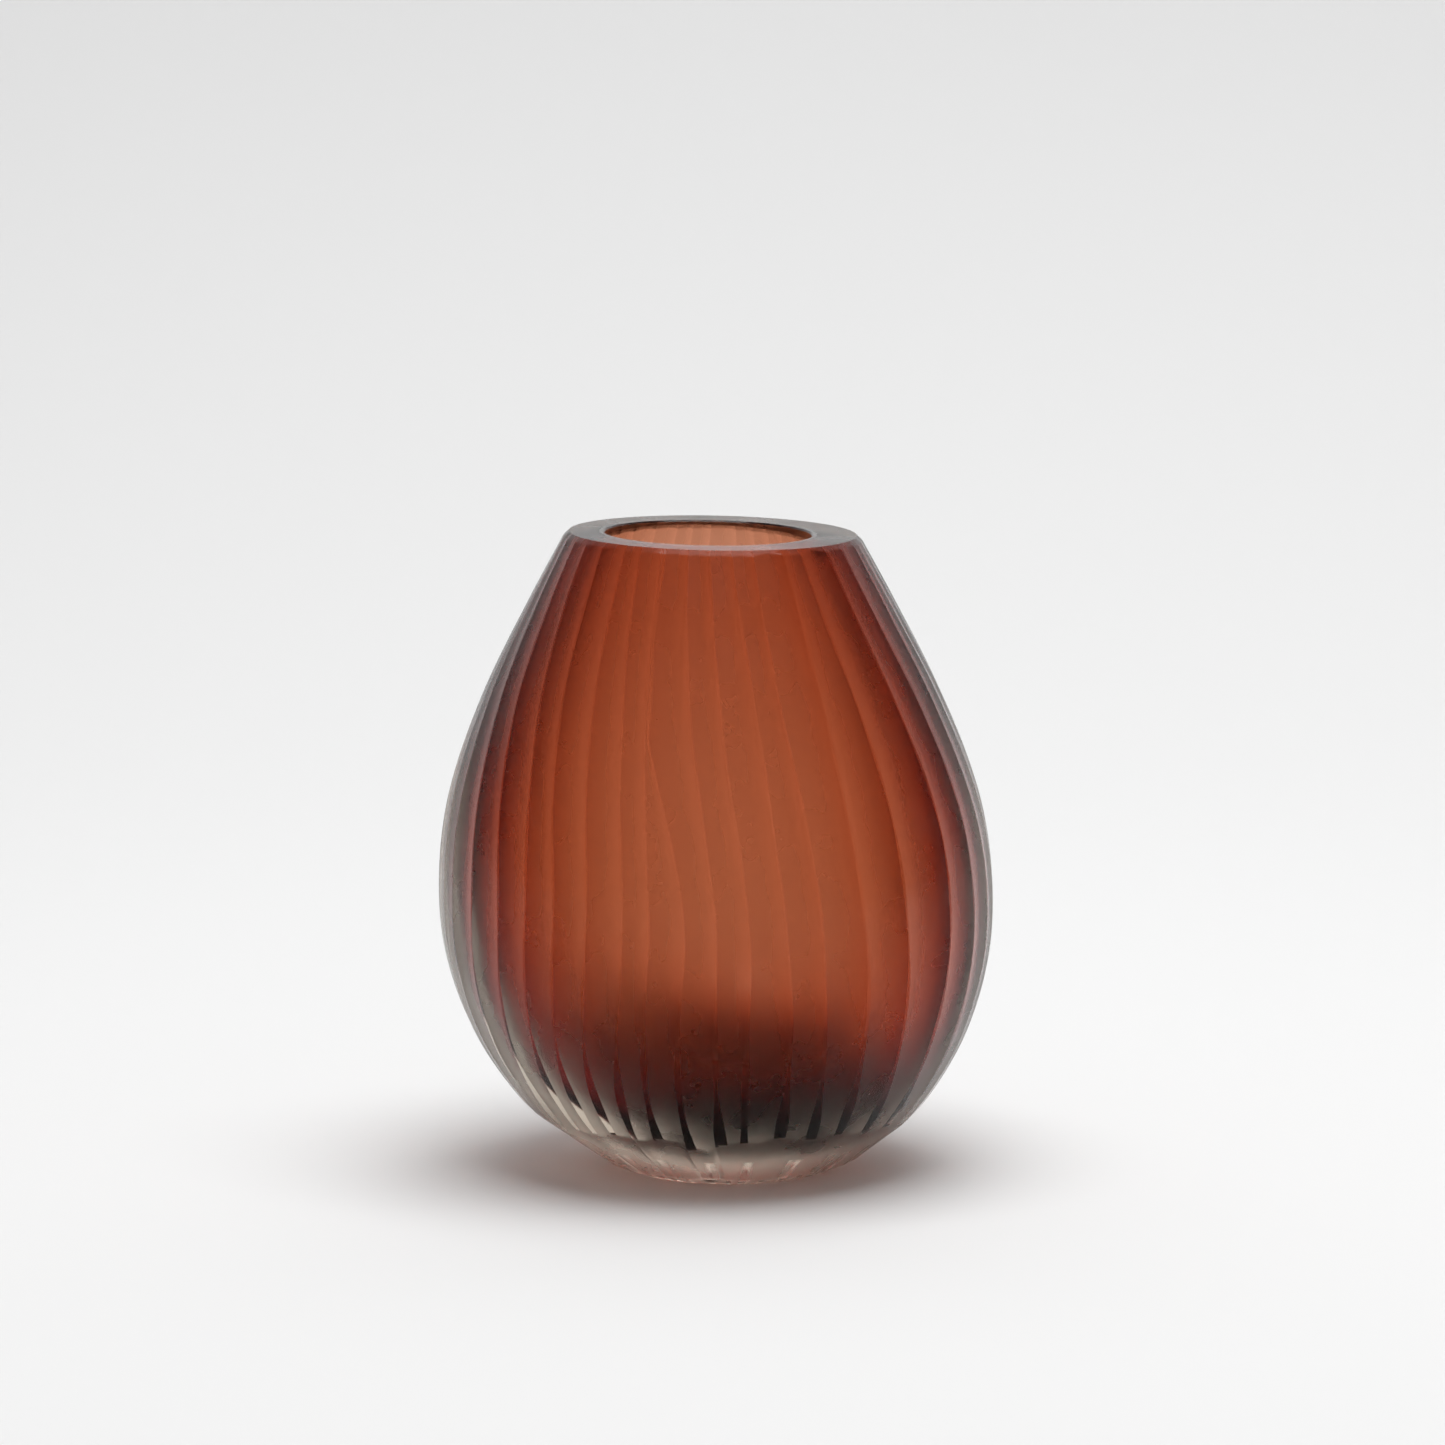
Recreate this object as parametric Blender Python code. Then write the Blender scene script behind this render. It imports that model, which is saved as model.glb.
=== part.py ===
"""A hand blown vase of cased glass: a thin rust-coloured cup inside a thick clear casing that is
cut all round with upright facets and ground flat at the rim and the foot.

Run it with blender --background --python part.py, or from Blender's text editor. The origin is the
centre of the foot, +Z is up, and the front of the vase faces -Y. Lengths are in millimetres until
place() turns them into metres. Angles are in degrees until they are used: 0 is the front, and they
grow to the right."""

import math
import random

import bmesh
import bpy

MM = 0.001

# The casing's outline, as (height, radius) where two facets meet, from the foot to the rim.
OUTLINE = (
    (0.0, 32.0),
    (4.0, 42.0),
    (12.0, 53.5),
    (25.0, 66.0),
    (45.0, 78.0),
    (70.0, 85.5),
    (95.0, 86.5),
    (120.0, 82.5),
    (150.0, 71.5),
    (180.0, 56.5),
    (200.0, 45.7),
)
HEIGHT = OUTLINE[-1][0]
RIM_CHAMFER = 1.0

# The hollow that the casing leaves for the cup: a rounded floor up to its widest height, then walls
# that taper to the neck. CUP_SHIFTS is how far right of the casing's middle it is, by height.
CUP_FLOOR = 28.0
CUP_WIDEST = 92.0
CUP_RADIUS = 60.0
CUP_NECK_RADIUS = 34.0
CUP_TAPER = 2.4
CUP_ROUNDNESS = 2.15
CUP_SHIFTS = ((CUP_FLOOR, 8.5), (CUP_WIDEST, 1.5), (HEIGHT, -1.5))

# The cup is a skin on that hollow, thinnest where the bubble was blown widest, thick at the floor.
JOIN_GAP = 0.3
SKIN_BELLY = 1.15
SKIN_NECK = 1.7
SKIN_FLOOR = 3.5
SKIN_NECK_TAPER = 1.5
SKIN_FLOOR_TAPER = 9.0
BORE_BEVEL = 0.5

# The ridges between the front facets, from the left: their angles near the foot, at the belly and
# at the rim. The ninth runs into the eighth above the belly.
RIDGE_HEIGHTS = (30.0, 100.0, 195.0)
FRONT_RIDGES = (
    (-73.5, -70.0, -82.0),
    (-65.0, -60.2, -75.0),
    (-56.0, -50.7, -66.0),
    (-48.0, -42.0, -56.0),
    (-40.5, -35.2, -46.7),
    (-33.0, -27.3, -35.6),
    (-26.0, -18.9, -28.3),
    (-18.5, -13.8, -20.0),
    (-10.3, -7.3, -27.0),
    (-1.0, -0.8, -9.7),
    (5.8, 6.0, -1.5),
    (15.6, 14.0, 7.3),
    (25.0, 21.0, 15.0),
    (34.5, 31.0, 27.6),
    (44.5, 42.3, 36.1),
    (55.0, 56.4, 49.4),
    (66.0, 67.0, 59.4),
    (75.0, 76.0, 70.0),
)
BACK_FACET_COUNT = 25
BACK_FACET_SPREAD = 0.3
BACK_RIDGE_SWAY = (-3.0, 0.0, -9.0)
RIDGE_WAVER = 0.35
WAVER_LENGTH = 110.0
NARROWEST_FACET = 1.0
FACET_CURVE_RADIUS = 65.0

# What handwork left: the body leans to the left, and the rim is ground a little out of level.
LEAN = 5.0
RIM_TILT = math.radians(1.1)

OUTER_ROWS = 22
OUTER_ROW_CROWDING = 1.5
CUP_FLOOR_ROWS = 8
CUP_WALL_ROWS = 7
CUP_COLUMNS = 40

CASING_COLOUR = (0.86, 0.88, 0.84)
CASING_ROUGHNESS = 0.3
CASING_SHARP_OVER = 3.0
RUST_COLOUR = (0.55, 0.13, 0.05)
RUST_ROUGHNESS = 0.1
RUST_SHARP_OVER = 40.0
GLASS_IOR = 1.5


def smooth_value(outline, height):
    """The value at a height, on a smooth curve through the outline's points."""
    last = len(outline) - 1
    index = 0
    while index < last - 1 and height > outline[index + 1][0]:
        index += 1

    def slope(point):
        before = outline[max(point - 1, 0)]
        after = outline[min(point + 1, last)]
        return (after[1] - before[1]) / (after[0] - before[0])

    (low, low_value), (high, high_value) = outline[index], outline[index + 1]
    span = high - low
    t = (height - low) / span
    return (
        (2 * t**3 - 3 * t**2 + 1) * low_value
        + (t**3 - 2 * t**2 + t) * span * slope(index)
        + (3 * t**2 - 2 * t**3) * high_value
        + (t**3 - t**2) * span * slope(index + 1)
    )


def place(radius, angle, height, shift=0.0):
    """A point in metres, from a radius, an angle in radians round the axis, a height and a shift to
    the right, with the lean and the rim's tilt put in."""
    up = height / HEIGHT
    across = radius * math.sin(angle) + shift
    x = across - LEAN * (1 - (1 - up) ** 3)
    z = height - math.tan(RIM_TILT) * across * up**3
    return (x * MM, -radius * math.cos(angle) * MM, z * MM)


def facet_ridges(seed=7):
    """The ridges from the left of the front all the way round: (angles by height, waver's phase)."""
    rng = random.Random(seed)
    paths = list(FRONT_RIDGES)
    first, last = FRONT_RIDGES[0][1], FRONT_RIDGES[-1][1]
    widths = [1 + rng.uniform(-BACK_FACET_SPREAD, BACK_FACET_SPREAD) for _ in range(BACK_FACET_COUNT)]
    angle = last
    for width in widths[:-1]:
        angle += width * (360 + first - last) / sum(widths)
        paths.append(tuple(angle + sway for sway in BACK_RIDGE_SWAY))
    return [(tuple(zip(RIDGE_HEIGHTS, path)), rng.uniform(0, 2 * math.pi)) for path in paths]


def ridge_angles(ridges, height):
    """Each ridge's angle at a height, in radians, kept in order round the casing."""
    narrowest = NARROWEST_FACET / smooth_value(OUTLINE, height)
    angles = []
    for path, phase in ridges:
        waver = RIDGE_WAVER * math.sin(2 * math.pi * height / WAVER_LENGTH + phase)
        angle = math.radians(smooth_value(path, height) + waver)
        if angles:
            angle = max(angle, angles[-1] + narrowest)
        angles.append(angle)
    return angles


def facet_ring(ridges, height):
    """(radius, angle) round the casing at one height: each ridge, then the middle of its facet."""
    radius = smooth_value(OUTLINE, height)
    angles = ridge_angles(ridges, height)
    ring = []
    for angle, following in zip(angles, angles[1:] + [angles[0] + 2 * math.pi]):
        half = (following - angle) / 2
        hollow = (radius * half) ** 2 / (2 * FACET_CURVE_RADIUS)
        ring.append((radius, angle))
        ring.append((radius * math.cos(half) - hollow, angle + half))
    return ring


def cup_outline(gap=0.0, skin=False):
    """(radius, height) down the cup's hollow, from the rim to the last ring above its lowest point,
    moved inwards by the gap, and by the skin's thickness for the bore."""
    points = []
    for row in range(CUP_WALL_ROWS):
        up = 1 - row / CUP_WALL_ROWS
        thickness = SKIN_BELLY + (SKIN_NECK - SKIN_BELLY) * up**SKIN_NECK_TAPER
        inset = gap + (thickness if skin else 0)
        radius = CUP_RADIUS - (CUP_RADIUS - CUP_NECK_RADIUS) * up**CUP_TAPER
        points.append((radius - inset, CUP_WIDEST + (HEIGHT - CUP_WIDEST) * up))
    depth = CUP_WIDEST - CUP_FLOOR
    for row in range(CUP_FLOOR_ROWS):
        angle = math.pi / 2 * row / CUP_FLOOR_ROWS
        thickness = SKIN_BELLY + (SKIN_FLOOR - SKIN_BELLY) * math.sin(angle) ** SKIN_FLOOR_TAPER
        inset = gap + (thickness if skin else 0)
        across = math.cos(angle) ** (2 / CUP_ROUNDNESS)
        down = math.sin(angle) ** (2 / CUP_ROUNDNESS)
        points.append(((CUP_RADIUS - inset) * across, CUP_WIDEST - (depth - inset) * down))
    return points


def add_ring(mesh, ring, height, shift=0.0):
    return [mesh.verts.new(place(radius, angle, height, shift)) for radius, angle in ring]


def add_cup_ring(mesh, radius, angles, height):
    ring = [(radius, angle) for angle in angles]
    return add_ring(mesh, ring, height, smooth_value(CUP_SHIFTS, height))


def join_rings(mesh, rings):
    for above, below in zip(rings, rings[1:]):
        for i in range(len(above)):
            j = (i + 1) % len(above)
            mesh.faces.new((above[i], above[j], below[j], below[i]))


def close_on_axis(mesh, ring, height, shift=0.0):
    pole = mesh.verts.new(place(0, 0, height, shift))
    for i in range(len(ring)):
        mesh.faces.new((ring[i], ring[(i + 1) % len(ring)], pole))


def finish_object(mesh, name, material, sharp_over):
    """Turns the mesh into a named object with outward faces, smooth except over sharp edges."""
    bmesh.ops.recalc_face_normals(mesh, faces=mesh.faces)
    data = bpy.data.meshes.new(name)
    mesh.to_mesh(data)
    mesh.free()
    data.shade_smooth()
    data.set_sharp_from_angle(angle=math.radians(sharp_over))
    data.materials.append(material)
    made = bpy.data.objects.new(name, data)
    bpy.context.scene.collection.objects.link(made)
    return made


def glass(name, colour, roughness):
    material = bpy.data.materials.new(name)
    material.use_nodes = True
    shader = material.node_tree.nodes["Principled BSDF"]
    shader.inputs["Base Color"].default_value = (*colour, 1)
    shader.inputs["Roughness"].default_value = roughness
    shader.inputs["Metallic"].default_value = 0
    shader.inputs["Transmission Weight"].default_value = 1
    shader.inputs["IOR"].default_value = GLASS_IOR
    return material


def clear_casing():
    """The thick clear overlay: facets outside, flat rim and foot, and a hollow for the cup."""
    mesh = bmesh.new()
    ridges = facet_ridges()
    rim_angles = [angle for _, angle in facet_ring(ridges, HEIGHT)]
    rim_radius = OUTLINE[-1][1] - RIM_CHAMFER
    rings = [add_cup_ring(mesh, radius, rim_angles, height) for radius, height in reversed(cup_outline())]
    close_on_axis(mesh, rings[0], CUP_FLOOR, smooth_value(CUP_SHIFTS, CUP_FLOOR))
    rings.append(add_ring(mesh, [(rim_radius, angle) for angle in rim_angles], HEIGHT))
    side_top = HEIGHT - RIM_CHAMFER
    for row in range(OUTER_ROWS, -1, -1):
        height = side_top * (row / OUTER_ROWS) ** OUTER_ROW_CROWDING
        rings.append(add_ring(mesh, facet_ring(ridges, height), height))
    join_rings(mesh, rings)
    close_on_axis(mesh, rings[-1], 0)
    material = glass("clear_satin_glass", CASING_COLOUR, CASING_ROUGHNESS)
    finish_object(mesh, "clear_casing", material, CASING_SHARP_OVER)


def colour_layer():
    """The rust-coloured cup that lines the casing, with a small bevel at the bore's edge."""
    mesh = bmesh.new()
    angles = [2 * math.pi * i / CUP_COLUMNS for i in range(CUP_COLUMNS)]
    outer = cup_outline(JOIN_GAP)
    inner = cup_outline(JOIN_GAP, skin=True)
    bore_edge = inner[0][0]
    inner[0] = (bore_edge, HEIGHT - BORE_BEVEL)
    profile = list(reversed(outer)) + [(bore_edge + BORE_BEVEL, HEIGHT)] + inner
    rings = [add_cup_ring(mesh, radius, angles, height) for radius, height in profile]
    join_rings(mesh, rings)
    floor = CUP_FLOOR + JOIN_GAP
    close_on_axis(mesh, rings[0], floor, smooth_value(CUP_SHIFTS, floor))
    bore_floor = floor + SKIN_FLOOR
    close_on_axis(mesh, rings[-1], bore_floor, smooth_value(CUP_SHIFTS, bore_floor))
    material = glass("rust_glass", RUST_COLOUR, RUST_ROUGHNESS)
    finish_object(mesh, "colour_layer", material, RUST_SHARP_OVER)


for old in list(bpy.data.objects):
    bpy.data.objects.remove(old)
clear_casing()
colour_layer()
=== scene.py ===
"""The looks of the hand blown cased-glass vase: its cut and satin-ground glass, in a pale studio.

The vase stands at the origin with its front towards -Y. Its shapes are worked out in millimetres of
the design, and MM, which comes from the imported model's height, turns them into metres. Angles round
the axis are given in degrees: 0 is the front, and they grow to the right. The studio is in metres."""

import math
import random

import bmesh
import bpy
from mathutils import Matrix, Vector


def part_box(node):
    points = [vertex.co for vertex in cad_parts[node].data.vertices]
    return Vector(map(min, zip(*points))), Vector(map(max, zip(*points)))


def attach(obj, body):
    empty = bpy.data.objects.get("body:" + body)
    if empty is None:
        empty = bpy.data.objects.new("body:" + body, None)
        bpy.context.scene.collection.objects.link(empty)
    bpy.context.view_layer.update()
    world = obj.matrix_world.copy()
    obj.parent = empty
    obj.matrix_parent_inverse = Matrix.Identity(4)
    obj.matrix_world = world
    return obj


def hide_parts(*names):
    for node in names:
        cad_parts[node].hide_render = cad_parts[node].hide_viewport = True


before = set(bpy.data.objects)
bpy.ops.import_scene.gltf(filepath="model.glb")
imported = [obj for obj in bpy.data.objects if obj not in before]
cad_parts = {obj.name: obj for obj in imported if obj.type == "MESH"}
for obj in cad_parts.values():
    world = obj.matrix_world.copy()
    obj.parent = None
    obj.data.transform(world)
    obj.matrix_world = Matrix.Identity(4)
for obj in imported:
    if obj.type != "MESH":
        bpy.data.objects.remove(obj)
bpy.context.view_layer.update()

CASING = "clear_casing"
COLOUR = "colour_layer"

# The rim is ground a little out of level, so its right half dips and its left edge is the highest.
HEIGHT = 200.0
RIM_TILT = math.radians(1.1)
RIM_RISE = 0.85
casing_low, casing_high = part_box(CASING)
MM = (casing_high.z - casing_low.z) / (HEIGHT + RIM_RISE)

# The blown outline of the casing: (height, radius).
OUTLINE = (
    (0.0, 32.0),
    (4.0, 42.0),
    (12.0, 53.5),
    (25.0, 66.0),
    (45.0, 78.0),
    (70.0, 85.5),
    (95.0, 86.5),
    (120.0, 82.5),
    (150.0, 71.5),
    (180.0, 56.5),
    (200.0, 45.7),
)
LEAN = 5.0
RIM_FLAT_RADIUS = 44.8
RIM_CHAMFER_SLOPE = 1.1

# The hollow for the cup: a rounded floor up to the widest height, then walls that taper to the neck.
# CUP_SHIFTS is how far right of the casing's middle the cup's middle is, by height.
CUP_FLOOR = 28.0
CUP_WIDEST = 92.0
CUP_RADIUS = 60.0
CUP_NECK_RADIUS = 34.0
CUP_TAPER = 2.4
CUP_ROUNDNESS = 2.15
CUP_SHIFTS = ((CUP_FLOOR, 8.5), (CUP_WIDEST, 1.5), (HEIGHT, -1.5))

# The cup is a skin of colour on that hollow, thinnest where the bubble was blown widest.
FUSED_GAP = 0.05
SKIN_BELLY = 1.15
SKIN_NECK = 1.7
SKIN_FLOOR = 3.5
SKIN_NECK_TAPER = 1.5
SKIN_FLOOR_TAPER = 9.0
BORE_BEVEL = 0.5

# The ridges between the front facets, from the left: their angles near the foot, at the belly and
# at the rim. The ninth runs into the eighth above the belly.
RIDGE_HEIGHTS = (30.0, 100.0, 195.0)
FRONT_RIDGES = (
    (-73.5, -70.0, -82.0),
    (-65.0, -60.2, -75.0),
    (-56.0, -50.7, -66.0),
    (-48.0, -42.0, -56.0),
    (-40.5, -35.2, -46.7),
    (-33.0, -27.3, -35.6),
    (-26.0, -18.9, -28.3),
    (-18.5, -13.8, -20.0),
    (-10.3, -7.3, -27.0),
    (-1.0, -0.8, -9.7),
    (5.8, 6.0, -1.5),
    (15.6, 14.0, 7.3),
    (25.0, 21.0, 15.0),
    (34.5, 31.0, 27.6),
    (44.5, 42.3, 36.1),
    (55.0, 56.4, 49.4),
    (66.0, 67.0, 59.4),
    (75.0, 76.0, 70.0),
)
RIDGE_SEED = 7
BACK_FACET_COUNT = 25
BACK_FACET_SPREAD = 0.3
BACK_RIDGE_SWAY = (-3.0, 0.0, -9.0)
RIDGE_WAVER = 0.35
WAVER_LENGTH = 110.0
FACET_CURVE_RADIUS = 65.0
NARROWEST_FACET = 0.25

# Width of the uncut strip that is left along each ridge, by height, and how much it comes and goes.
STRIP_WIDTHS = (
    (0.0, 2.0),
    (14.0, 2.6),
    (26.0, 3.0),
    (40.0, 2.0),
    (60.0, 1.0),
    (110.0, 0.8),
    (200.0, 0.7),
)
STRIP_SPREAD = 0.35
STRIP_WAVES = 3

# Short flat cuts round the foot, one below each ridge. Low down the crease between two is clear.
FOOT_CUT_TOP = 18.0
FOOT_CUT_SPREAD = 2.5
FOOT_CUT_SLOPE = 1.35
FOOT_CREASE = 0.5
FOOT_CREASE_TOP = 11.0

# Rows and columns of the meshes. The rows are closest together near the foot and the rim.
FOOT_ZONE = 22.0
FOOT_ROWS = 30
BODY_ROWS = 96
RIM_ROWS = 12
RIM_ZONE = 3.0
FACET_COLUMNS = 6
STRIP_COLUMNS = 2
COLUMNS_PER_RIDGE = FACET_COLUMNS + STRIP_COLUMNS
CUP_ROWS = 56
CUP_COLUMNS = 160

# Along the right of each facet, and along the left of those that are further round to the right than
# this, the facet is less matt and its tint lighter: clearer glass and a painted highlight. Low down
# both edges are crisp.
HIGHLIGHT_EDGE_TURN = 26.0
HIGHLIGHT_EDGE_START = 0.55
HIGHLIGHT_EDGE_CLEARNESS = 0.8
HIGHLIGHT_EDGE_HEIGHTS = (45.0, 75.0)

GLASS_IOR = 1.5
CASING_COLOUR = (0.9, 0.82, 0.68, 1)
CASING_DENSITY = 10.0
# The ground attribute is 0 on clear glass, ETCHED on the facets, FOOT_CUT_GROUND on the foot's cuts
# and LAPPED on the flat rim and foot.
ETCHED = 1.0
FOOT_CUT_GROUND = 1.5
LAPPED = 2.0
SATIN_ROUGHNESS = (0.24, 0.34)
STRIP_ROUGHNESS = 0.06
ETCHED_SHINE = 0.15
LAPPED_SHINE = 1.0
ETCHED_TINT = 0.78
BORE_ROUGHNESS = 0.18
BORE_SHINE = 0.4
CLOUD_SCALE = 60.0
CLOUD_DETAIL = 3.0
CLOUD_RANGE = (0.3, 0.7)
GRAIN_SCALE = 2600.0
GRAIN_DETAIL = 2.0
GRAIN_STRENGTH = 0.15
GRAIN_DEPTH = 0.0001
RUST_COLOUR = (0.934, 0.788, 0.7, 1)
RUST_DENSITY = 4000.0
WHITE = (1, 1, 1, 1)

# While a mesh is built, the faces where the two glasses are fused have this material slot.
FUSED = 1


def smooth_value(outline, height):
    """The value at a height, on a smooth curve through the outline's points."""
    last = len(outline) - 1
    index = 0
    while index < last - 1 and height > outline[index + 1][0]:
        index += 1

    def slope(point):
        before = outline[max(point - 1, 0)]
        after = outline[min(point + 1, last)]
        return (after[1] - before[1]) / (after[0] - before[0])

    (low, low_value), (high, high_value) = outline[index], outline[index + 1]
    span = high - low
    t = (height - low) / span
    return (
        (2 * t**3 - 3 * t**2 + 1) * low_value
        + (t**3 - 2 * t**2 + t) * span * slope(index)
        + (3 * t**2 - 2 * t**3) * high_value
        + (t**3 - t**2) * span * slope(index + 1)
    )


def place(radius, angle, height, shift=0.0):
    """A point in metres. The vase's lean comes in low down, and the rim's tilt near the top."""
    up = height / HEIGHT
    across = radius * math.sin(angle) + shift
    x = across - LEAN * (1 - (1 - up) ** 3)
    z = height - math.tan(RIM_TILT) * across * up**3
    return Vector((x, -radius * math.cos(angle), z)) * MM


def cup_shift(height):
    """How far right of the casing's middle the cup's middle is."""
    return smooth_value(CUP_SHIFTS, height)


def facet_ridges():
    """One dict for each ridge, from the left of the front all the way round."""
    rng = random.Random(RIDGE_SEED)
    paths = list(FRONT_RIDGES)
    first, last = FRONT_RIDGES[0][1], FRONT_RIDGES[-1][1]
    spread = BACK_FACET_SPREAD
    widths = [1 + rng.uniform(-spread, spread) for _ in range(BACK_FACET_COUNT)]
    angle = last
    for width in widths[:-1]:
        angle += width * (360 + first - last) / sum(widths)
        paths.append(tuple(angle + sway for sway in BACK_RIDGE_SWAY))
    ridges = []
    for path in paths:
        ridges.append(
            {
                "path": tuple(zip(RIDGE_HEIGHTS, path)),
                "phase": rng.uniform(0, 2 * math.pi),
                "strip": rng.uniform(0, 2 * math.pi),
                "foot_top": FOOT_CUT_TOP + rng.uniform(-FOOT_CUT_SPREAD, FOOT_CUT_SPREAD),
            }
        )
    return ridges


def ridge_spans(ridges, height):
    """The (left, right) angles of each ridge's uncut strip, kept in order round the casing."""
    radius = smooth_value(OUTLINE, height)
    spans = []
    for ridge in ridges:
        turn = 2 * math.pi * height / WAVER_LENGTH
        waver = RIDGE_WAVER * math.sin(turn + ridge["phase"])
        middle = math.radians(smooth_value(ridge["path"], height) + waver)
        spread = STRIP_SPREAD * math.sin(STRIP_WAVES * turn + ridge["strip"])
        width = smooth_value(STRIP_WIDTHS, height) * (1 + spread)
        half = width / radius / 2
        if spans:
            middle = max(middle, spans[-1][1] + NARROWEST_FACET / radius + half)
        spans.append((middle - half, middle + half))
    return spans


def facet_ring(ridges, height):
    """(radius, angle) round the casing at one height: each strip's columns, then its facet's."""
    blown = smooth_value(OUTLINE, height)
    spans = ridge_spans(ridges, height)
    ring = []
    for (left, right), following in zip(spans, spans[1:] + [(spans[0][0] + 2 * math.pi, 0)]):
        for step in range(STRIP_COLUMNS):
            ring.append((blown, left + (right - left) * step / STRIP_COLUMNS))
        half = (following[0] - right) / 2
        hollow = (blown * half) ** 2 / (2 * FACET_CURVE_RADIUS)
        for step in range(FACET_COLUMNS):
            share = 2 * step / FACET_COLUMNS - 1
            chord = blown * math.cos(half) / math.cos(half * share)
            ring.append((chord - hollow * (1 - share**2), right + half + half * share))
    return ring


def foot_cuts(ridges):
    """(angle, distance from the axis at the foot) of the flat cut below each ridge."""
    cuts = []
    for ridge in ridges:
        top = ridge["foot_top"]
        angle = math.radians(smooth_value(ridge["path"], top))
        cuts.append((angle, smooth_value(OUTLINE, top) - top * FOOT_CUT_SLOPE))
    return cuts


def outer_ring(ridges, cuts, height):
    """(radius, angle, foot) of the finished outside at one height: the facets, less the rim's
    chamfer and the foot's cuts. The last value is None above the foot's cuts, else how far the
    point is from the crease between two of them."""
    chamfer = RIM_FLAT_RADIUS + (HEIGHT - height) * RIM_CHAMFER_SLOPE
    ring = []
    for column, (radius, angle) in enumerate(facet_ring(ridges, height)):
        ridge = column // COLUMNS_PER_RIDGE
        planes = []
        for near in (ridge, (ridge + 1) % len(cuts)):
            cut_angle, distance = cuts[near]
            planes.append((distance + height * FOOT_CUT_SLOPE) / math.cos(angle - cut_angle))
        foot = abs(planes[0] - planes[1]) if min(planes) < radius else None
        ring.append((min(radius, chamfer, *planes), angle, foot))
    return ring


def outer_heights():
    """Heights from the rim down, closest together at the rim and the foot."""
    rim_foot = HEIGHT - RIM_ZONE
    heights = [HEIGHT - RIM_ZONE * row / RIM_ROWS for row in range(RIM_ROWS)]
    heights += [rim_foot - (rim_foot - FOOT_ZONE) * row / BODY_ROWS for row in range(BODY_ROWS)]
    heights += [FOOT_ZONE * (1 - row / FOOT_ROWS) for row in range(FOOT_ROWS + 1)]
    return heights


def cup_profile(gap=0.0, skin=False):
    """(radius, height) down the cup's hollow, moved inwards by the gap, and by the skin's thickness
    for the bore."""
    points = []
    wall_rows = CUP_ROWS // 2
    for row in range(wall_rows):
        up = 1 - row / wall_rows
        thickness = SKIN_BELLY + (SKIN_NECK - SKIN_BELLY) * up**SKIN_NECK_TAPER
        inset = gap + (thickness if skin else 0)
        radius = CUP_RADIUS - (CUP_RADIUS - CUP_NECK_RADIUS) * up**CUP_TAPER
        points.append((radius - inset, CUP_WIDEST + (HEIGHT - CUP_WIDEST) * up))
    depth = CUP_WIDEST - CUP_FLOOR
    floor_rows = CUP_ROWS - wall_rows
    for row in range(floor_rows):
        angle = math.pi / 2 * row / floor_rows
        thickness = SKIN_BELLY + (SKIN_FLOOR - SKIN_BELLY) * math.sin(angle) ** SKIN_FLOOR_TAPER
        inset = gap + (thickness if skin else 0)
        across = math.cos(angle) ** (2 / CUP_ROUNDNESS)
        down = math.sin(angle) ** (2 / CUP_ROUNDNESS)
        points.append(((CUP_RADIUS - inset) * across, CUP_WIDEST - (depth - inset) * down))
    return points


def add_cup_ring(mesh, radius, height):
    shift = cup_shift(height)
    angles = [2 * math.pi * i / CUP_COLUMNS for i in range(CUP_COLUMNS)]
    return [mesh.verts.new(place(radius, angle, height, shift)) for angle in angles]


def join_rings(mesh, rings, slot=0):
    for above, below in zip(rings, rings[1:]):
        for i in range(len(above)):
            j = (i + 1) % len(above)
            face = mesh.faces.new((above[i], above[j], below[j], below[i]))
            face.material_index = slot


def close_on_axis(mesh, ring, height, shift=0.0, slot=0):
    pole = mesh.verts.new(place(0, 0, height, shift))
    for i in range(len(ring)):
        face = mesh.faces.new((ring[i], ring[(i + 1) % len(ring)], pole))
        face.material_index = slot


def mark_ring_sharp(mesh, ring):
    for i in range(len(ring)):
        mesh.edges.get((ring[i], ring[(i + 1) % len(ring)])).smooth = False


def ground_and_highlight(ridge, step, side, height):
    """How matt a facet's face is at its left (side 0) or right (side 1) corners: less so along the
    facet's highlight edge, which also lightens its tint as a painted highlight. The back's facets are
    like the last one in front."""
    share = (step + side) / FACET_COLUMNS
    front = min(ridge, len(FRONT_RIDGES) - 1)
    if FRONT_RIDGES[front][1] > HIGHLIGHT_EDGE_TURN:
        share = 1 - share
    low, high = HIGHLIGHT_EDGE_HEIGHTS
    # Along this edge the facet is less matt and its tint lightens: a painted highlight.
    highlight_clearness = HIGHLIGHT_EDGE_CLEARNESS * min(1, max(0, (height - low) / (high - low)))
    return ETCHED - highlight_clearness * max(0, share - HIGHLIGHT_EDGE_START) / (1 - HIGHLIGHT_EDGE_START)


def join_outside(mesh, heights, rows, rings, ground):
    """The faces of the outside, with a matt share at each corner and sharp edges along the strips."""
    for height, above, below, values_above, values_below in zip(
        heights, rings, rings[1:], rows, rows[1:]
    ):
        for i in range(len(above)):
            j = (i + 1) % len(above)
            face = mesh.faces.new((above[i], above[j], below[j], below[i]))
            ridge, column = divmod(i, COLUMNS_PER_RIDGE)
            feet = (values_above[i][2], values_above[j][2], values_below[j][2], values_below[i][2])
            for loop, side, foot in zip(face.loops, (0, 1, 1, 0), feet):
                if foot is not None:
                    crease = min(1.0, foot / FOOT_CREASE) if height < FOOT_CREASE_TOP else 1.0
                    loop[ground] = FOOT_CUT_GROUND * crease
                elif column < STRIP_COLUMNS:
                    loop[ground] = 0.0
                else:
                    loop[ground] = ground_and_highlight(ridge, column - STRIP_COLUMNS, side, height)
            if column in (0, STRIP_COLUMNS):
                mesh.edges.get((above[i], below[i])).smooth = False


def add_object(name, data):
    made = bpy.data.objects.new(name, data)
    bpy.context.scene.collection.objects.link(made)
    return made


def add_mesh(mesh, name, material):
    data = bpy.data.meshes.new(name)
    mesh.to_mesh(data)
    mesh.free()
    data.materials.append(material)
    return add_object(name, data)


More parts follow.
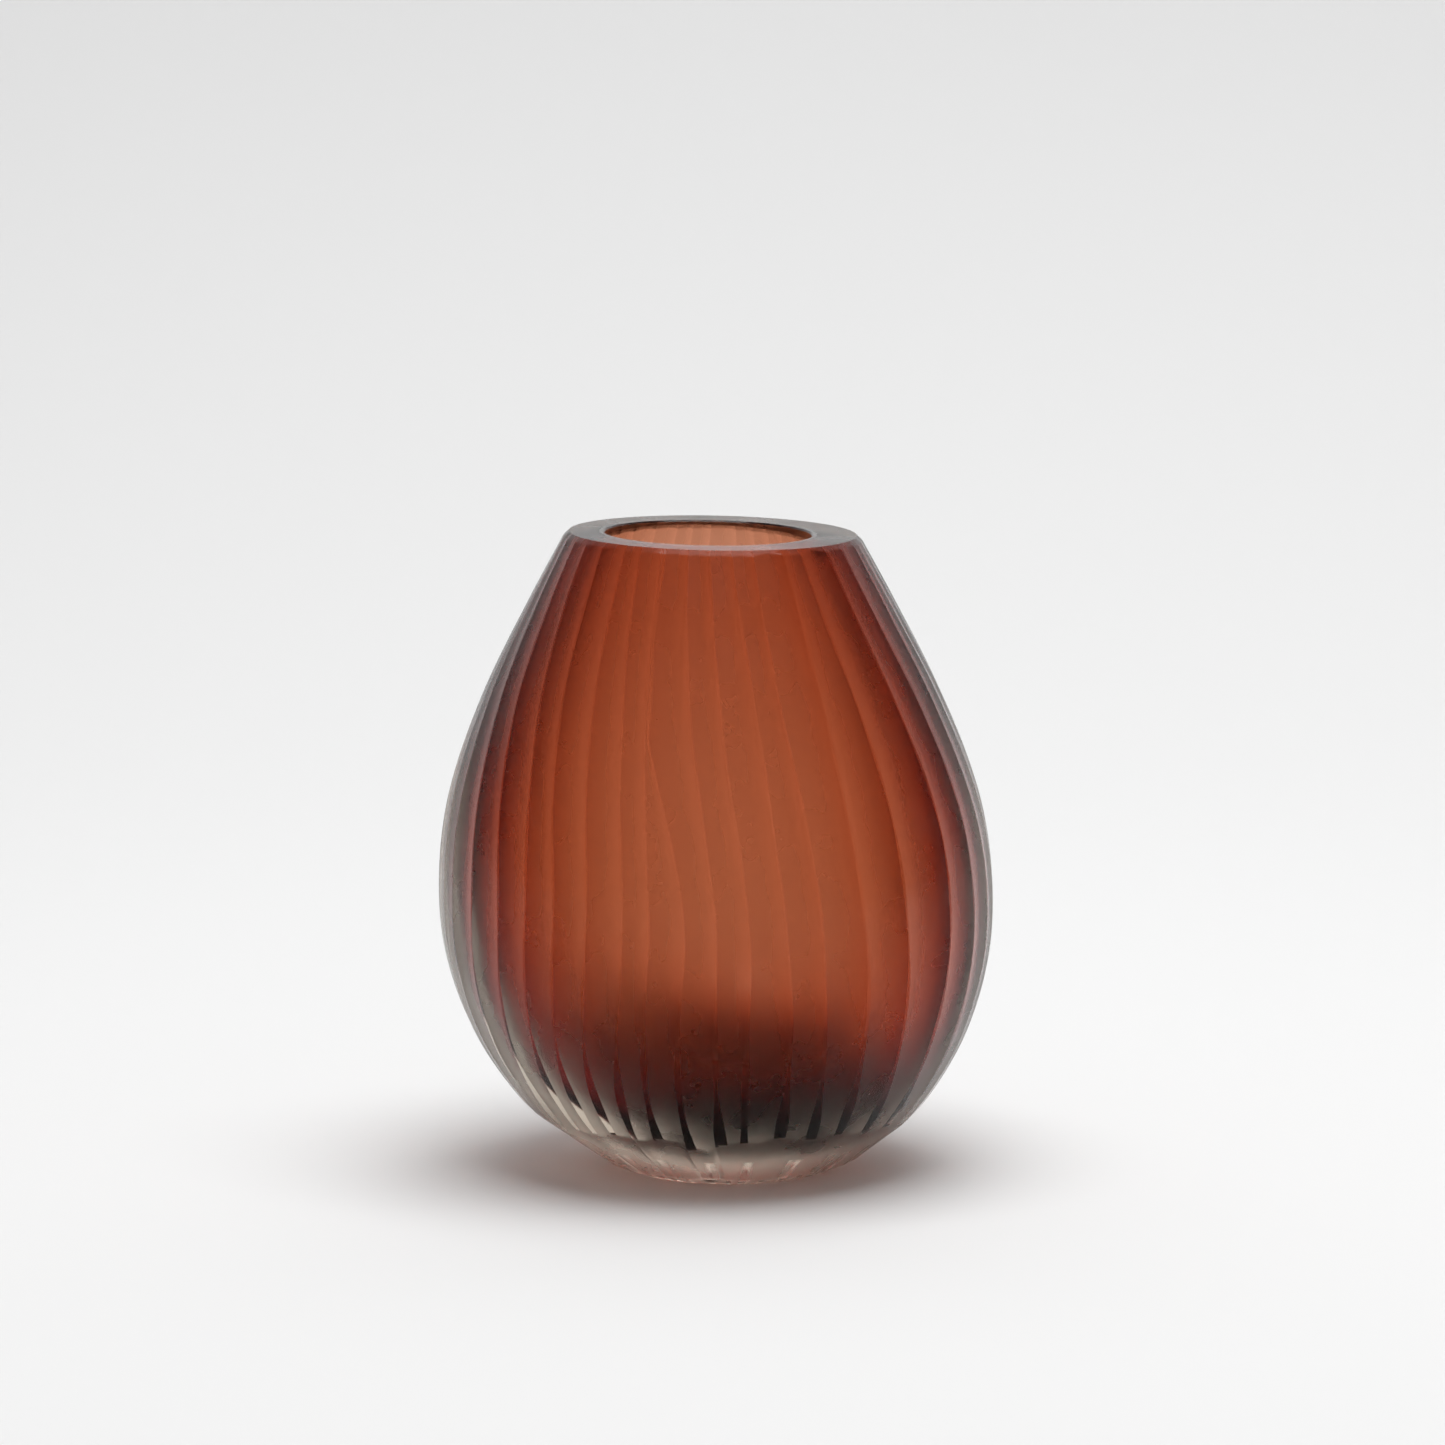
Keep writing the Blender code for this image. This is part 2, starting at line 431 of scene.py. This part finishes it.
def finish_piece(mesh, name, node, material):
    """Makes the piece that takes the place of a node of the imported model."""
    bmesh.ops.recalc_face_normals(mesh, faces=mesh.faces)
    made = add_mesh(mesh, name, material)
    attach(made, "root")
    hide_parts(node)


def new_material(name):
    material = bpy.data.materials.new(name)
    material.use_nodes = True
    tree = material.node_tree
    tree.nodes.clear()
    return material, tree


def set_input(tree, socket, value):
    if isinstance(value, bpy.types.NodeSocket):
        tree.links.new(value, socket)
    else:
        socket.default_value = value


def add_node(tree, kind, **inputs):
    """Adds a node. Its inputs are named with _ for a space, and take a value or a socket."""
    node = tree.nodes.new(kind)
    for name, value in inputs.items():
        set_input(tree, node.inputs[name.replace("_", " ")], value)
    return node


def attribute(tree, name):
    node = tree.nodes.new("ShaderNodeAttribute")
    node.attribute_name = name
    return node.outputs["Fac"]


def backfacing(tree):
    """1 where a surface is met from behind, or from inside its glass, else 0."""
    return add_node(tree, "ShaderNodeNewGeometry").outputs["Backfacing"]


def arithmetic(tree, operation, *values):
    node = tree.nodes.new("ShaderNodeMath")
    node.operation = operation
    for socket, value in zip(node.inputs, values):
        set_input(tree, socket, value)
    return node.outputs["Value"]


def remap(tree, value, low, high, start=0.0, end=1.0):
    """Goes from low to high as the value goes from start to end."""
    node = add_node(
        tree,
        "ShaderNodeMapRange",
        Value=value,
        From_Min=start,
        From_Max=end,
        To_Min=low,
        To_Max=high,
    )
    return node.outputs["Result"]


def mix_shaders(tree, share, first, second):
    """The first shader where the share is 0, and the second where it is 1."""
    mix = tree.nodes.new("ShaderNodeMixShader")
    for socket, value in zip(mix.inputs, (share, first.outputs[0], second.outputs[0])):
        set_input(tree, socket, value)
    return mix.outputs[0]


def satin_glass():
    """The casing's glass: clear or matt, as the ground attribute says."""
    material, tree = new_material("satin_glass")
    ground = attribute(tree, "ground")
    spot = add_node(tree, "ShaderNodeTexCoord").outputs["Object"]
    cloud = add_node(tree, "ShaderNodeTexNoise", Vector=spot, Scale=CLOUD_SCALE, Detail=CLOUD_DETAIL)
    matt = remap(tree, cloud.outputs["Fac"], *SATIN_ROUGHNESS, *CLOUD_RANGE)
    grain = add_node(tree, "ShaderNodeTexNoise", Vector=spot, Scale=GRAIN_SCALE, Detail=GRAIN_DETAIL)
    bump = add_node(
        tree,
        "ShaderNodeBump",
        Height=grain.outputs["Fac"],
        Strength=remap(tree, ground, 0.0, GRAIN_STRENGTH),
        Distance=GRAIN_DEPTH,
    )
    # Etched glass reflects little from outside, and inside the glass everything reflects in full.
    outer_shine = remap(tree, ground, ETCHED_SHINE, LAPPED_SHINE, ETCHED, LAPPED)
    # The tint is darkest on the facets, lighter along each facet's painted highlight edge, and there
    # is none on clear or lapped glass.
    off_facets = arithmetic(tree, "ABSOLUTE", arithmetic(tree, "SUBTRACT", ground, ETCHED))
    shader = add_node(
        tree,
        "ShaderNodeBsdfPrincipled",
        Base_Color=remap(tree, off_facets, ETCHED_TINT, 1.0),
        Specular_Tint=remap(tree, backfacing(tree), outer_shine, 1.0),
        Roughness=remap(tree, ground, STRIP_ROUGHNESS, matt),
        Normal=bump.outputs["Normal"],
        Transmission_Weight=1.0,
        IOR=GLASS_IOR,
    )
    finish_glass(tree, shader, CASING_COLOUR, CASING_DENSITY)
    return material


def colour_glass():
    """Rust glass that takes up light through its thickness, open to the casing on its fused side."""
    material, tree = new_material("rust_glass_skin")
    shader = add_node(
        tree,
        "ShaderNodeBsdfPrincipled",
        Base_Color=WHITE,
        Specular_Tint=remap(tree, backfacing(tree), BORE_SHINE, 1.0),
        Roughness=BORE_ROUGHNESS,
        Transmission_Weight=1.0,
        IOR=GLASS_IOR,
    )
    finish_glass(tree, shader, RUST_COLOUR, RUST_DENSITY)
    return material


def finish_glass(tree, shader, colour, density):
    """Lets light straight through where two glasses are fused, and takes some up inside the glass."""
    clear = add_node(tree, "ShaderNodeBsdfTransparent", Color=WHITE)
    surface = mix_shaders(tree, attribute(tree, "fused"), shader, clear)
    volume = add_node(tree, "ShaderNodeVolumeAbsorption", Color=colour, Density=density)
    add_node(tree, "ShaderNodeOutputMaterial", Surface=surface, Volume=volume.outputs[0])


def set_fused(mesh):
    """Smooths the faces, and turns their slots into the attribute that is 1 where they are fused."""
    fused = mesh.faces.layers.float.new("fused")
    for face in mesh.faces:
        face.smooth = True
        face[fused] = face.material_index
        face.material_index = 0


def casing_piece(ridges):
    """The clear casing: the cup's hollow, the cut outside, and the flat rim and foot."""
    mesh = bmesh.new()
    ground = mesh.loops.layers.float.new("ground")
    hollow = [add_cup_ring(mesh, radius, height) for radius, height in reversed(cup_profile())]
    close_on_axis(mesh, hollow[0], CUP_FLOOR, cup_shift(CUP_FLOOR), slot=FUSED)
    join_rings(mesh, hollow, slot=FUSED)
    cuts = foot_cuts(ridges)
    heights = outer_heights()
    rows = [outer_ring(ridges, cuts, height) for height in heights]
    rings = []
    for row, height in zip(rows, heights):
        rings.append([mesh.verts.new(place(radius, angle, height)) for radius, angle, _ in row])
    join_outside(mesh, heights, rows, rings, ground)
    # The faces made from here on are the flat foot and rim.
    face_count = len(mesh.faces)
    close_on_axis(mesh, rings[-1], 0)
    edges = []
    for ring in (hollow[-1], rings[0]):
        edges += [mesh.edges.get((ring[i - 1], ring[i])) for i in range(len(ring))]
    bmesh.ops.bridge_loops(mesh, edges=edges)
    mesh.faces.ensure_lookup_table()
    for face in mesh.faces[face_count:]:
        face.material_index = 0
        for loop in face.loops:
            loop[ground] = LAPPED
    set_fused(mesh)
    for ring in (hollow[-1], rings[0], rings[-1]):
        mark_ring_sharp(mesh, ring)
    finish_piece(mesh, "casing", CASING, satin_glass())


def colour_piece():
    """The rust skin: the side fused to the casing, then the bore from its bevelled edge down."""
    mesh = bmesh.new()
    outer = cup_profile(FUSED_GAP)
    inner = cup_profile(FUSED_GAP, skin=True)
    bore_edge = inner[0][0]
    inner[0] = (bore_edge, HEIGHT - BORE_BEVEL)
    fused_rings = [add_cup_ring(mesh, radius, height) for radius, height in reversed(outer)]
    floor = CUP_FLOOR + FUSED_GAP
    join_rings(mesh, fused_rings, slot=FUSED)
    close_on_axis(mesh, fused_rings[0], floor, cup_shift(floor), slot=FUSED)
    free = [(bore_edge + BORE_BEVEL, HEIGHT)] + inner
    rings = [fused_rings[-1]] + [add_cup_ring(mesh, radius, height) for radius, height in free]
    join_rings(mesh, rings)
    close_on_axis(mesh, rings[-1], floor + SKIN_FLOOR, cup_shift(floor))
    set_fused(mesh)
    fused_edge, bevel_top, bevel_bottom = rings[:3]
    for ring in (fused_edge, bevel_top, bevel_bottom):
        mark_ring_sharp(mesh, ring)
    finish_piece(mesh, "colour_skin", COLOUR, colour_glass())


# The studio: a pale floor that curves up into a backdrop, which can be seen through from behind.
COVE_START = 0.65
COVE_RADIUS = 0.4
COVE_STEPS = 24
FLOOR_HALF_WIDTH = 1.6
FLOOR_FRONT = -3.2
WALL_TOP = 3.0
PAPER_GREY = (0.82, 0.82, 0.82, 1)
PAPER_ROUGHNESS = 0.9


def backdrop_paper():
    """Matt paper that isn't there when it is met from behind."""
    material, tree = new_material("backdrop_paper")
    shader = add_node(
        tree, "ShaderNodeBsdfPrincipled", Base_Color=PAPER_GREY, Roughness=PAPER_ROUGHNESS
    )
    clear = add_node(tree, "ShaderNodeBsdfTransparent", Color=WHITE)
    surface = mix_shaders(tree, backfacing(tree), shader, clear)
    add_node(tree, "ShaderNodeOutputMaterial", Surface=surface)
    return material


def studio():
    mesh = bmesh.new()
    profile = [(FLOOR_FRONT, 0.0), (COVE_START, 0.0)]
    for step in range(1, COVE_STEPS + 1):
        angle = math.pi / 2 * step / COVE_STEPS
        profile.append(
            (COVE_START + COVE_RADIUS * math.sin(angle), COVE_RADIUS * (1 - math.cos(angle)))
        )
    profile.append((COVE_START + COVE_RADIUS, WALL_TOP))
    left = [mesh.verts.new((-FLOOR_HALF_WIDTH, y, z)) for y, z in profile]
    right = [mesh.verts.new((FLOOR_HALF_WIDTH, y, z)) for y, z in profile]
    for i in range(len(profile) - 1):
        mesh.faces.new((left[i], right[i], right[i + 1], left[i + 1]))
    made = add_mesh(mesh, "backdrop", backdrop_paper())
    made.data.shade_smooth()


# One large softbox overhead, and a dim even surround.
SOFTBOX_PLACE = (0.18, -0.22, 2.2)
SOFTBOX_TARGET = (0, 0, 0.1)
SOFTBOX_SIZE = 1.8
SOFTBOX_POWER = 46
SURROUND_STRENGTH = 0.27


def lights():
    data = bpy.data.lights.new("top_softbox", "AREA")
    data.shape = "SQUARE"
    data.size = SOFTBOX_SIZE
    data.energy = SOFTBOX_POWER
    made = add_object("top_softbox", data)
    made.location = SOFTBOX_PLACE
    aim = Vector(SOFTBOX_TARGET) - Vector(SOFTBOX_PLACE)
    made.rotation_euler = aim.to_track_quat("-Z", "Y").to_euler()
    world = bpy.data.worlds.new("studio")
    bpy.context.scene.world = world
    world.use_nodes = True
    background = world.node_tree.nodes["Background"]
    background.inputs["Color"].default_value = WHITE
    background.inputs["Strength"].default_value = SURROUND_STRENGTH


# The camera's distance and height are in heights of the vase, its side step is in metres, and its
# lens and sensor are in millimetres.
CAMERA_DISTANCE = 12.0
CAMERA_HEIGHT = 2.465
CAMERA_SIDE = -0.002
CAMERA_PITCH = math.radians(8.36)
CAMERA_LENS = 193.6
CAMERA_SENSOR = 36.0


def camera():
    data = bpy.data.cameras.new("camera")
    data.sensor_width = CAMERA_SENSOR
    data.lens = CAMERA_LENS
    made = add_object("camera", data)
    made.location = (CAMERA_SIDE, -CAMERA_DISTANCE * HEIGHT * MM, CAMERA_HEIGHT * HEIGHT * MM)
    made.rotation_euler = (math.pi / 2 - CAMERA_PITCH, 0, 0)
    bpy.context.scene.camera = made


camera()
lights()
studio()
casing_piece(facet_ridges())
colour_piece()
bpy.context.scene.view_settings.view_transform = "Standard"
